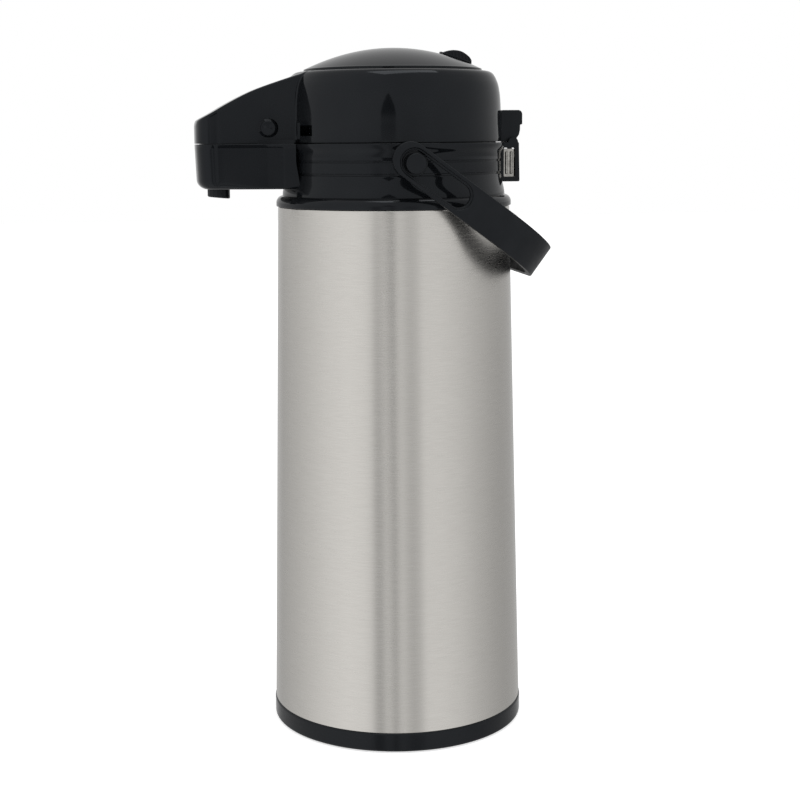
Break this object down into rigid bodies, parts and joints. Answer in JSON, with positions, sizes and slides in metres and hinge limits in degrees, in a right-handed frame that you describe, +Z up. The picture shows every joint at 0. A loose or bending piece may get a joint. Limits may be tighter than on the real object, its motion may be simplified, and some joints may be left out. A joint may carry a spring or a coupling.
{
  "type": "thermal coffee airpot",
  "caption": "Tapered steel vacuum airpot with black hinged pump head, push-plate lid, side spout with nozzle and swinging strap handle.",
  "frame": {"origin": "centre of the foot ring's underside, on the flask's axis", "axes": "+Z up along the flask's axis, -Y towards the spout's tip, +Y towards the rear hinge, +X to the right of someone facing the spout"},
  "size_m": [0.156, 0.2068, 0.4144],
  "materials": {
    "rubber_grey": "matte",
    "plastic_gloss": "gloss",
    "plastic_satin": "satin",
    "jacket_steel": "brushed",
    "fastener_steel": "plain",
    "flask_glass": "silvered",
    "milky_plastic": "satin"
  },
  "bodies": {
    "root": {"foot_ring": "rubber_grey", "base_cover": "plastic_gloss", "liner_cup": "plastic_satin", "liner_cushion": "rubber_grey", "outer_shell": "jacket_steel", "flask_outer_wall": "flask_glass", "flask_inner_wall": "flask_glass", "shoulder_cushion": "rubber_grey", "shoulder_ring": "plastic_gloss", "neck_collar": "plastic_gloss", "collar_screws": "fastener_steel", "mouth_gasket": "rubber_grey", "siphon_tube": "milky_plastic", "siphon_head": "milky_plastic", "handle_pin_left": "plastic_satin", "handle_pin_right": "plastic_satin", "hinge_pin": "fastener_steel", "hinge_clip": "fastener_steel"},
    "lid": {"head_cover": "plastic_gloss", "spout_lower_cover": "plastic_gloss", "spout_screws": "fastener_steel", "hinge_tongue": "plastic_satin", "tongue_screws": "fastener_steel", "lid_floor": "plastic_satin", "lid_gasket": "rubber_grey", "lid_screws": "fastener_steel", "connector_seal": "rubber_grey", "spout_pipe": "milky_plastic", "nozzle": "plastic_satin", "pump_base": "plastic_satin", "air_valve": "rubber_grey", "bellows": "rubber_grey", "pump_spring": "fastener_steel", "plate_pin": "fastener_steel", "button_spring_left": "fastener_steel", "button_spring_right": "fastener_steel"},
    "push_plate": {"push_plate": "plastic_gloss"},
    "lock": {"lock_lever": "plastic_satin"},
    "button_left": {"release_button_left": "plastic_gloss"},
    "button_right": {"release_button_right": "plastic_gloss"},
    "handle": {"handle_bail": "plastic_satin"}
  },
  "joints": [
    {"name": "lid_open", "type": "hinge", "parent": "root", "child": "lid", "pos_m": [0, 0.0723, 0.3582], "axis": [-1, 0, 0], "range_deg": [0, 95]},
    {"name": "pump_press", "type": "hinge", "parent": "lid", "child": "push_plate", "pos_m": [0, 0.046, 0.396], "axis": [1, 0, 0], "range_deg": [0, 11], "stiffness_Nm_per_rad": 6, "springref_deg": -11.46, "deforming": ["bellows", "pump_spring"]},
    {"name": "lock_turn", "type": "hinge", "parent": "push_plate", "child": "lock", "pos_m": [0, 0, 0.4], "axis": [0, 0, 1], "range_deg": [0, 25]},
    {"name": "button_press_left", "type": "slide", "parent": "lid", "child": "button_left", "axis": [1, 0, 0], "range_m": [0, 0.003], "stiffness_N_per_m": 400, "springref_m": -0.002, "deforming": ["button_spring_left"]},
    {"name": "button_press_right", "type": "slide", "parent": "lid", "child": "button_right", "axis": [-1, 0, 0], "range_m": [0, 0.003], "stiffness_N_per_m": 400, "springref_m": -0.002, "deforming": ["button_spring_right"]},
    {"name": "handle_swing", "type": "hinge", "parent": "root", "child": "handle", "pos_m": [0, 0, 0.347], "axis": [1, 0, 0], "range_deg": [0, 183]}
  ]
}
